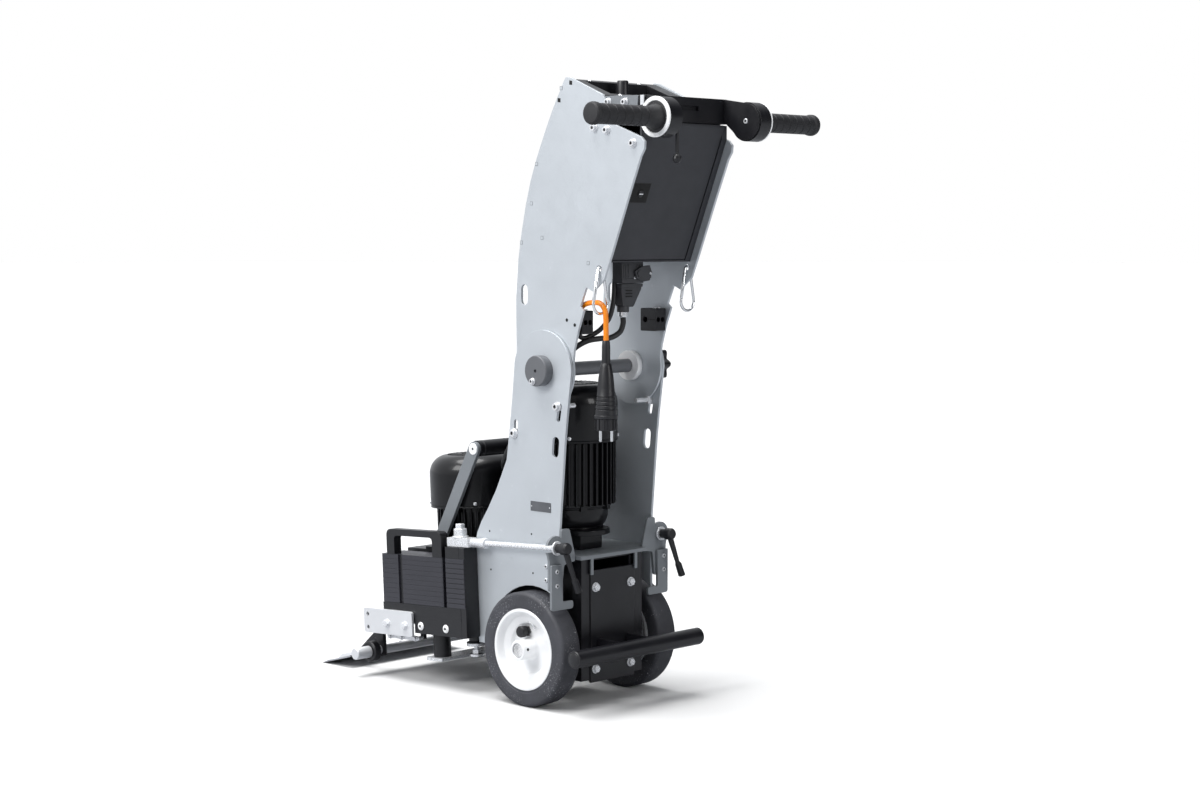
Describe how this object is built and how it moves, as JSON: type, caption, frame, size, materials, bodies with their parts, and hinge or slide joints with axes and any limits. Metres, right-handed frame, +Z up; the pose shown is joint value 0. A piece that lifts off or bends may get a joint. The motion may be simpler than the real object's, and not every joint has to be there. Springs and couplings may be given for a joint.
{
  "type": "walk-behind floor stripper",
  "caption": "Walk-behind floor stripper: wide oscillating floor blade, lift-off side weights, driven rear wheels and a folding operator column with twist handles and a hanging power cord",
  "frame": {"origin": "centre of the machine's box in X and Y, on the floor under the tyres and the blade edge", "axes": "+Z up, -Y towards the blade, +Y towards the operator, +X the machine's left side; the machine is mirror-symmetric about X = 0 but for its small fittings"},
  "size_m": [0.554, 0.887, 1.081],
  "materials": {
    "silver_paint": "fine hammered silver-grey powder coat",
    "grey_paint": "satin dark grey paint",
    "black_paint": "satin black paint",
    "charcoal": "textured charcoal powder coat",
    "zinc": "zinc-plated steel, satin",
    "steel": "plain ground steel",
    "rim_silver": "bright silver lacquer",
    "tyre": "solid rubber with a fine speckle",
    "grip": "soft black rubber",
    "orange": "orange PVC sheath",
    "black_plastic": "moulded black plastic"
  },
  "bodies": {
    "chassis": {"side_plate_left": "silver_paint", "side_plate_right": "silver_paint", "gearbox_housing": "black_paint", "gearbox_cover": "black_paint", "motor_mount_plate": "black_paint", "drive_motor": "black_paint", "drive_motor_cowl": "black_paint", "bumper_bar": "black_paint", "clamp_bracket_left": "grey_paint", "clamp_bracket_right": "grey_paint", "wheel_scraper_left": "grey_paint", "wheel_scraper_right": "grey_paint", "pivot_rod": "grey_paint", "front_housing": "black_paint", "blade_motor": "black_paint", "blade_motor_cowl": "black_paint", "lift_arm_left": "grey_paint", "lift_arm_right": "grey_paint", "lift_grip": "charcoal", "support_foot": "black_paint"},
    "axle": {"drive_axle": "steel"},
    "pinion": {"pinion_shaft": "steel"},
    "wheel_left": {"wheel_tyre_left": "tyre", "wheel_rim_left": "rim_silver"},
    "wheel_right": {"wheel_tyre_right": "tyre", "wheel_rim_right": "rim_silver"},
    "plunger_left": {"index_plunger_left": "black_plastic"},
    "plunger_right": {"index_plunger_right": "black_plastic"},
    "tie_rod_left": {"tie_rod_left": "zinc"},
    "tie_rod_right": {"tie_rod_right": "zinc"},
    "clamp_lever_left": {"clamp_lever_left": "black_plastic"},
    "clamp_lever_right": {"clamp_lever_right": "black_plastic"},
    "weight_left": {"weight_left": "charcoal"},
    "weight_right": {"weight_right": "charcoal"},
    "eccentric": {"eccentric_shaft": "steel"},
    "blade_head": {"blade_carrier": "zinc", "blade": "steel", "blade_clamp": "zinc"},
    "guide_roller": {"guide_roller": "black_plastic"},
    "column": {"column_plate_left": "silver_paint", "column_plate_right": "silver_paint", "control_box": "charcoal", "rear_cover": "charcoal", "switchgear": "black_plastic", "top_frame": "black_paint", "handle_frame": "black_paint", "connector_hood": "black_plastic", "cable_clamp_left": "black_plastic", "cable_clamp_right": "black_plastic", "mains_cord": "orange", "mains_plug": "black_plastic", "motor_cable": "black_plastic", "carabiner_left": "steel"},
    "pivot_knob": {"pivot_knob": "black_plastic"},
    "handle_left": {"handle_grip_left": "grip"},
    "handle_right": {"handle_grip_right": "grip"},
    "control_lever": {"control_lever": "black_plastic"},
    "control_knob": {"control_knob": "black_plastic"},
    "connector_latch": {"connector_latch": "black_plastic"},
    "carabiner_right": {"carabiner_right": "steel"}
  },
  "joints": [
    {"name": "axle_spin", "type": "hinge", "parent": "chassis", "child": "axle", "pos_m": [0, 0.1135, 0.1], "axis": [1, 0, 0], "continuous": true},
    {"name": "wheel_left_spin", "type": "hinge", "parent": "chassis", "child": "wheel_left", "pos_m": [0.12, 0.1135, 0.1], "axis": [1, 0, 0], "continuous": true},
    {"name": "wheel_right_spin", "type": "hinge", "parent": "chassis", "child": "wheel_right", "pos_m": [-0.12, 0.1135, 0.1], "axis": [1, 0, 0], "continuous": true},
    {"name": "pinion_spin", "type": "hinge", "parent": "chassis", "child": "pinion", "pos_m": [0, 0.1135, 0.143], "axis": [0, 0, 1], "continuous": true},
    {"name": "plunger_left_pull", "type": "slide", "parent": "wheel_left", "child": "plunger_left", "axis": [1, 0, 0], "range_m": [0, 0.008], "stiffness_N_per_m": 400, "springref_m": -0.01},
    {"name": "plunger_right_pull", "type": "slide", "parent": "wheel_right", "child": "plunger_right", "axis": [-1, 0, 0], "range_m": [0, 0.008], "stiffness_N_per_m": 400, "springref_m": -0.01},
    {"name": "eccentric_spin", "type": "hinge", "parent": "chassis", "child": "eccentric", "pos_m": [0, -0.14547, 0.11543], "axis": [0, -0.0523, 0.9986], "continuous": true},
    {"name": "blade_stroke", "type": "slide", "parent": "chassis", "child": "blade_head", "axis": [0, 0.9986, 0.0523], "range_m": [-0.004, 0.004]},
    {"name": "guide_roller_spin", "type": "hinge", "parent": "blade_head", "child": "guide_roller", "pos_m": [0, -0.28992, 0.04377], "axis": [1, 0, 0], "continuous": true},
    {"name": "tie_rod_left_swing", "type": "hinge", "parent": "chassis", "child": "tie_rod_left", "pos_m": [0.131, -0.05745, 0.27025], "axis": [0, -0.0523, 0.9986], "range_deg": [-90, 0]},
    {"name": "tie_rod_right_swing", "type": "hinge", "parent": "chassis", "child": "tie_rod_right", "pos_m": [-0.131, -0.05745, 0.27025], "axis": [0, -0.0523, 0.9986], "range_deg": [0, 90]},
    {"name": "clamp_lever_left_turn", "type": "hinge", "parent": "tie_rod_left", "child": "clamp_lever_left", "pos_m": [0.131, 0.19021, 0.28323], "axis": [0, 0.9986, 0.0523], "range_deg": [-60, 60]},
    {"name": "clamp_lever_right_turn", "type": "hinge", "parent": "tie_rod_right", "child": "clamp_lever_right", "pos_m": [-0.131, 0.19021, 0.28323], "axis": [0, 0.9986, 0.0523], "range_deg": [-60, 60]},
    {"name": "weight_left_lift", "type": "slide", "parent": "chassis", "child": "weight_left", "axis": [0, -0.0523, 0.9986], "range_m": [0, 0.12]},
    {"name": "weight_right_lift", "type": "slide", "parent": "chassis", "child": "weight_right", "axis": [0, -0.0523, 0.9986], "range_m": [0, 0.12]},
    {"name": "column_fold", "type": "hinge", "parent": "chassis", "child": "column", "pos_m": [0, 0.1375, 0.584], "axis": [1, 0, 0], "range_deg": [0, 95], "deforming": ["motor_cable"]},
    {"name": "pivot_knob_turn", "type": "hinge", "parent": "column", "child": "pivot_knob", "pos_m": [-0.13, 0.1375, 0.584], "axis": [1, 0, 0], "range_deg": [-60, 60]},
    {"name": "handle_left_twist", "type": "hinge", "parent": "column", "child": "handle_left", "pos_m": [0.128, 0.4105, 1.006], "axis": [1, 0, 0], "range_deg": [-20, 20], "stiffness_Nm_per_rad": 2},
    {"name": "handle_right_twist", "type": "hinge", "parent": "column", "child": "handle_right", "pos_m": [-0.128, 0.4105, 1.006], "axis": [1, 0, 0], "range_deg": [-20, 20], "stiffness_Nm_per_rad": 2},
    {"name": "control_lever_swing", "type": "hinge", "parent": "column", "child": "control_lever", "pos_m": [0.085, 0.4105, 1.006], "axis": [1, 0, 0], "range_deg": [-25, 25]},
    {"name": "control_knob_turn", "type": "hinge", "parent": "column", "child": "control_knob", "pos_m": [0.01, 0.2255, 1.04], "axis": [0, 0, 1], "range_deg": [-135, 135]},
    {"name": "connector_latch_swing", "type": "hinge", "parent": "column", "child": "connector_latch", "pos_m": [-0.008, 0.2315, 0.75], "axis": [0, 1, 0], "range_deg": [-30, 0]},
    {"name": "carabiner_right_swing", "type": "hinge", "parent": "column", "child": "carabiner_right", "pos_m": [-0.1085, 0.2685, 0.7615], "axis": [1, 0, 0], "range_deg": [-30, 60]}
  ],
  "couplings": [
    {"joint": "wheel_left_spin", "follows": "axle_spin", "ratio": 1},
    {"joint": "wheel_right_spin", "follows": "axle_spin", "ratio": 1},
    {"joint": "pinion_spin", "follows": "axle_spin", "ratio": -4},
    {"joint": "handle_right_twist", "follows": "handle_left_twist", "ratio": 1}
  ]
}
